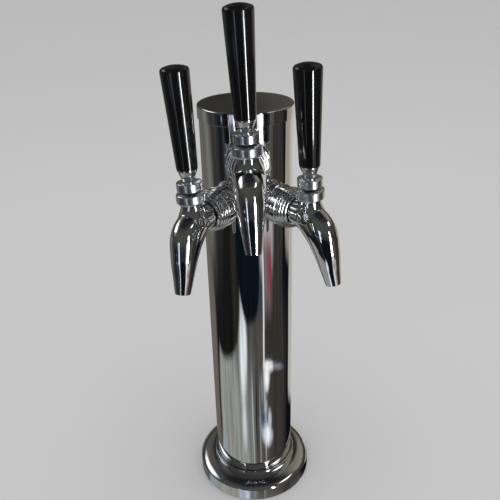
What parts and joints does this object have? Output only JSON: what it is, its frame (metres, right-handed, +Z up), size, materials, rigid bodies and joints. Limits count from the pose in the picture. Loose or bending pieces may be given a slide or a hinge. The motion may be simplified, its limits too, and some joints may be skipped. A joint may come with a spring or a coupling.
{
  "type": "beer tap tower",
  "caption": "Bar-top draft beer tower: chromed column on a round flange, with lever faucets on shanks near the top and black pull handles.",
  "frame": {"origin": "centre of the bounding box on the plane of the bar top, the underside of the base gasket; the column's axis stands 5.3 mm towards -X and 29.7 mm towards +Y of it", "axes": "+Z up along the column; -Y towards the drinker's side, where the centre faucet points; +X to the right seen from there"},
  "size_m": [0.1506, 0.1894, 0.5355],
  "materials": {
    "chrome": "mirror-polished chrome plate",
    "steel": "turned stainless steel",
    "brass": "turned brass",
    "black_plastic": "high-gloss moulded plastic",
    "rubber": "matt black rubber",
    "nylon": "moulded white plastic"
  },
  "bodies": {
    "tower": {"base_gasket": "rubber", "base_flange": "steel", "column_tube": "chrome", "base_screw_1": "steel", "base_screw_2": "steel", "base_screw_3": "steel", "base_screw_4": "steel", "left_shank": "steel", "left_shank_flange": "chrome", "left_saddle_washer": "nylon", "left_shank_nut": "brass", "left_tailpiece": "steel", "left_tail_nut": "brass", "left_coupling_nut": "chrome", "left_faucet_washer": "rubber", "left_faucet_body": "chrome", "left_bonnet": "chrome", "centre_shank": "steel", "centre_shank_flange": "chrome", "centre_saddle_washer": "nylon", "centre_shank_nut": "brass", "centre_tailpiece": "steel", "centre_tail_nut": "brass", "centre_coupling_nut": "chrome", "centre_faucet_washer": "rubber", "centre_faucet_body": "chrome", "centre_bonnet": "chrome", "right_shank": "steel", "right_shank_flange": "chrome", "right_saddle_washer": "nylon", "right_shank_nut": "brass", "right_tailpiece": "steel", "right_tail_nut": "brass", "right_coupling_nut": "chrome", "right_faucet_washer": "rubber", "right_faucet_body": "chrome", "right_bonnet": "chrome"},
    "cap": {"tower_cap": "chrome", "cap_o_ring": "rubber"},
    "cover": {"flange_cover": "chrome"},
    "left_lever": {"left_lever": "steel", "left_lever_collar": "chrome", "left_ferrule": "chrome", "left_handle": "black_plastic"},
    "left_plunger": {"left_shaft": "brass", "left_seat_washer": "rubber"},
    "centre_lever": {"centre_lever": "steel", "centre_lever_collar": "chrome", "centre_ferrule": "chrome", "centre_handle": "black_plastic"},
    "centre_plunger": {"centre_shaft": "brass", "centre_seat_washer": "rubber"},
    "right_lever": {"right_lever": "steel", "right_lever_collar": "chrome", "right_ferrule": "chrome", "right_handle": "black_plastic"},
    "right_plunger": {"right_shaft": "brass", "right_seat_washer": "rubber"}
  },
  "joints": [
    {"name": "cap_lift", "type": "slide", "parent": "tower", "child": "cap", "axis": [0, 0, 1], "range_m": [0, 0.03]},
    {"name": "cover_lift", "type": "slide", "parent": "tower", "child": "cover", "axis": [0, 0, 1], "range_m": [0, 0.06]},
    {"name": "left_lever_pull", "type": "hinge", "parent": "tower", "child": "left_lever", "pos_m": [-0.05511, -0.0447, 0.36927], "axis": [0.8346, -0.5462, 0.0715], "range_deg": [0, 20]},
    {"name": "left_plunger_slide", "type": "slide", "parent": "tower", "child": "left_plunger", "axis": [0.5476, 0.8368, 0], "range_m": [0, 0.0046]},
    {"name": "centre_lever_pull", "type": "hinge", "parent": "tower", "child": "centre_lever", "pos_m": [-0.00583, -0.05982, 0.41499], "axis": [0.9993, 0, 0.0384], "range_deg": [0, 20]},
    {"name": "centre_plunger_slide", "type": "slide", "parent": "tower", "child": "centre_plunger", "axis": [0, 1, 0], "range_m": [0, 0.0046]},
    {"name": "right_lever_pull", "type": "hinge", "parent": "tower", "child": "right_lever", "pos_m": [0.04835, -0.04194, 0.36928], "axis": [0.7943, 0.6051, 0.0541], "range_deg": [0, 20]},
    {"name": "right_plunger_slide", "type": "slide", "parent": "tower", "child": "right_plunger", "axis": [-0.606, 0.7955, 0], "range_m": [0, 0.0046]}
  ],
  "couplings": [
    {"joint": "left_plunger_slide", "follows": "left_lever_pull", "m_per_rad": 0.013},
    {"joint": "centre_plunger_slide", "follows": "centre_lever_pull", "m_per_rad": 0.013},
    {"joint": "right_plunger_slide", "follows": "right_lever_pull", "m_per_rad": 0.013}
  ]
}
